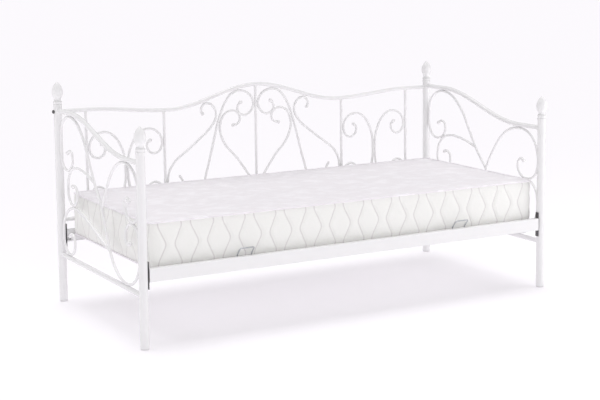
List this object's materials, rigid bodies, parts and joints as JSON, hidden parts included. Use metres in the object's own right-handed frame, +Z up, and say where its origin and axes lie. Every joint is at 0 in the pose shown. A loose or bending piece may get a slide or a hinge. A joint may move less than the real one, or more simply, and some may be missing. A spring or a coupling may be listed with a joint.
{
  "type": "daybed",
  "caption": "Single daybed of white enamelled steel tube with scrolled ends and back, bud finials, hook-on side rails, a strip base and a loose padded mattress.",
  "frame": {"origin": "on the floor, midway between the four posts", "axes": "+X along the bed to the right as seen from the open front, +Y towards the back panel, +Z up"},
  "size_m": [2.1026, 1.0058, 1.028],
  "materials": {
    "white_enamel": "gloss white baked enamel powder coat",
    "blackened_steel": "black oxide, satin",
    "zinc_wire": "bright zinc plated wire",
    "glide_plastic": "moulded white polyethylene",
    "mattress_ticking": "white knitted ticking, quilted border"
  },
  "bodies": {
    "frame": {"back_bolt_left": "blackened_steel", "back_bolt_right": "blackened_steel", "back_bottom_tube": "white_enamel", "back_top_tube": "white_enamel", "base_grid": "white_enamel", "end_bottom_tube_left": "white_enamel", "end_bottom_tube_right": "white_enamel", "end_top_tube_left": "white_enamel", "end_top_tube_right": "white_enamel", "finial_front_left": "white_enamel", "finial_front_right": "white_enamel", "finial_rear_left": "white_enamel", "finial_rear_right": "white_enamel", "foot_front_left": "glide_plastic", "foot_front_right": "glide_plastic", "foot_rear_left": "glide_plastic", "foot_rear_right": "glide_plastic", "hook_plate_front_left": "blackened_steel", "hook_plate_front_right": "blackened_steel", "hook_plate_rear_left": "blackened_steel", "hook_plate_rear_right": "blackened_steel", "mattress_stop_left": "zinc_wire", "mattress_stop_right": "zinc_wire", "post_front_left": "white_enamel", "post_front_right": "white_enamel", "post_rear_left": "white_enamel", "post_rear_right": "white_enamel", "scroll_bay_inner_left": "white_enamel", "scroll_bay_inner_right": "white_enamel", "scroll_bay_outer_left": "white_enamel", "scroll_bay_outer_right": "white_enamel", "scroll_crest_left": "white_enamel", "scroll_crest_right": "white_enamel", "scroll_heart_left": "white_enamel", "scroll_heart_right": "white_enamel", "scroll_lower_front_left": "white_enamel", "scroll_lower_front_right": "white_enamel", "scroll_lower_rear_left": "white_enamel", "scroll_lower_rear_right": "white_enamel", "scroll_middle_rear_left": "white_enamel", "scroll_middle_rear_right": "white_enamel", "scroll_sweep_left": "white_enamel", "scroll_sweep_right": "white_enamel", "scroll_upper_front_left": "white_enamel", "scroll_upper_front_right": "white_enamel", "scroll_upper_rear_left": "white_enamel", "scroll_upper_rear_right": "white_enamel", "side_rail_front": "white_enamel", "side_rail_rear": "white_enamel", "upright_centre": "white_enamel", "upright_inner_left": "white_enamel", "upright_inner_right": "white_enamel", "upright_outer_left": "white_enamel", "upright_outer_right": "white_enamel"},
    "mattress": {"mattress": "mattress_ticking"}
  },
  "joints": [
    {"name": "mattress_lift", "type": "slide", "parent": "frame", "child": "mattress", "axis": [0, 0, 1], "range_m": [0, 0.72]}
  ]
}
